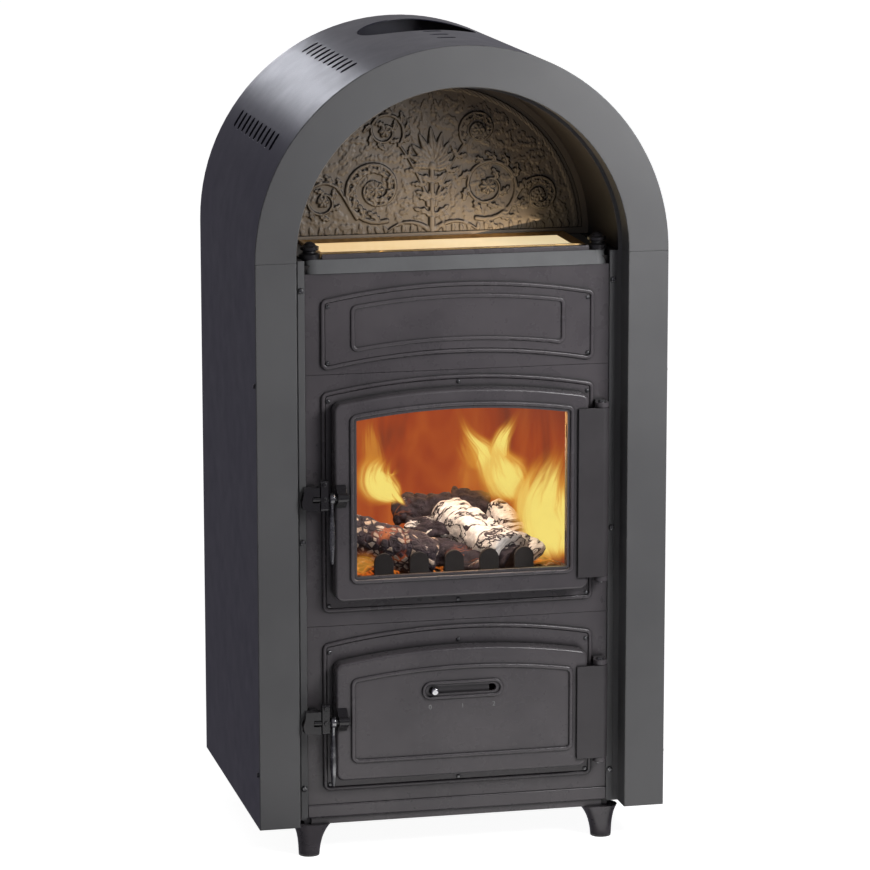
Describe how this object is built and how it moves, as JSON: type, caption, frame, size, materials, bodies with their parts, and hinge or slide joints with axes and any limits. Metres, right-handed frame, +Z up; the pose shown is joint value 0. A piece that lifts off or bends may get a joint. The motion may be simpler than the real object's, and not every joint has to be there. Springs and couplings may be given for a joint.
{
  "type": "freestanding steel stove",
  "caption": "Freestanding steel stove with an arched casing, a glazed fire door over an ash door, and a warming niche under the arch.",
  "frame": {"origin": "centre of the footprint, on the floor", "axes": "+Z up, the front with its doors faces -Y, +X to the right seen from the front"},
  "size_m": [0.605, 0.467, 1.176],
  "materials": {
    "frame_paint": "satin graphite stove paint",
    "casing_paint": "semi-gloss blue-black stove paint",
    "cast_black": "painted casting, fine grain",
    "chamber_iron": "sooty casting",
    "relief_iron": "cast relief, worn on its ridges",
    "blackened_steel": "blackened, satin",
    "bright_steel": "brushed",
    "latch_steel": "dark burnished",
    "polished_knob": "polished",
    "shutter_steel": "satin",
    "pan_sheet": "sheet steel",
    "brass_frame": "satin",
    "warming_glass": "ceramic glass lit from below",
    "window_glass": "clear, faintly smoked",
    "rope_seal": "glass-fibre rope",
    "firebrick": "vermiculite board, sooty"
  },
  "bodies": {
    "stove": {"front_arch": "frame_paint", "front_leg_left": "frame_paint", "front_leg_right": "frame_paint", "casing_wrap": "casing_paint", "rear_panel": "casing_paint", "niche_liner": "casing_paint", "upper_front_plate": "cast_black", "fire_front_plate": "cast_black", "ash_front_plate": "cast_black", "upper_inset": "cast_black", "fire_door_surround": "cast_black", "ash_door_surround": "cast_black", "top_plate": "cast_black", "front_rail": "cast_black", "corner_knobs": "cast_black", "plinth": "cast_black", "feet": "cast_black", "hinge_lugs": "cast_black", "latch_keepers": "cast_black", "flue_collar": "cast_black", "retaining_strips": "cast_black", "wall_left": "chamber_iron", "wall_right": "chamber_iron", "wall_back": "chamber_iron", "ash_floor": "chamber_iron", "chamber_deck": "chamber_iron", "grate": "chamber_iron", "log_guard": "chamber_iron", "relief_plate": "relief_iron", "strip_screws": "blackened_steel", "panel_screws": "blackened_steel", "casing_screws": "blackened_steel", "hinge_pins": "blackened_steel", "rear_spacers": "bright_steel", "warming_frame": "brass_frame", "warming_glass": "warming_glass", "side_firebricks": "firebrick", "rear_firebrick": "firebrick", "baffle": "firebrick"},
    "fire_door": {"fire_door": "cast_black", "door_glass": "window_glass", "glass_gasket": "rope_seal", "glass_clips": "bright_steel", "glass_clip_screws": "bright_steel", "fire_door_seal": "rope_seal", "fire_hinge_plate": "cast_black", "fire_latch_bracket": "cast_black"},
    "fire_door_latch": {"fire_latch_hook": "latch_steel", "fire_handle": "latch_steel"},
    "ash_door": {"ash_door": "cast_black", "ash_door_seal": "rope_seal", "ash_hinge_plate": "cast_black", "ash_latch_bracket": "cast_black"},
    "ash_door_latch": {"ash_latch_hook": "latch_steel", "ash_handle": "latch_steel"},
    "air_slide": {"air_shutter": "shutter_steel", "air_knob": "polished_knob"},
    "ash_pan": {"ash_pan": "pan_sheet", "pan_grip": "pan_sheet"}
  },
  "joints": [
    {"name": "fire_door_swing", "type": "hinge", "parent": "stove", "child": "fire_door", "pos_m": [0.207, -0.2065, 0.5], "axis": [0, 0, 1], "range_deg": [0, 110]},
    {"name": "fire_door_handle_lift", "type": "hinge", "parent": "fire_door", "child": "fire_door_latch", "pos_m": [-0.193, -0.2255, 0.538], "axis": [-1, 0, 0], "range_deg": [0, 70]},
    {"name": "ash_door_swing", "type": "hinge", "parent": "stove", "child": "ash_door", "pos_m": [0.207, -0.2065, 0.2], "axis": [0, 0, 1], "range_deg": [0, 110]},
    {"name": "ash_door_handle_lift", "type": "hinge", "parent": "ash_door", "child": "ash_door_latch", "pos_m": [-0.193, -0.2255, 0.2105], "axis": [-1, 0, 0], "range_deg": [0, 70]},
    {"name": "air_slide_shift", "type": "slide", "parent": "ash_door", "child": "air_slide", "axis": [1, 0, 0], "range_m": [0, 0.085]},
    {"name": "ash_pan_draw", "type": "slide", "parent": "stove", "child": "ash_pan", "axis": [0, -1, 0], "range_m": [0, 0.135]}
  ],
  "couplings": [
    {"joint": "ash_pan_draw", "follows": "ash_door_swing", "m_per_rad": 0.07}
  ]
}
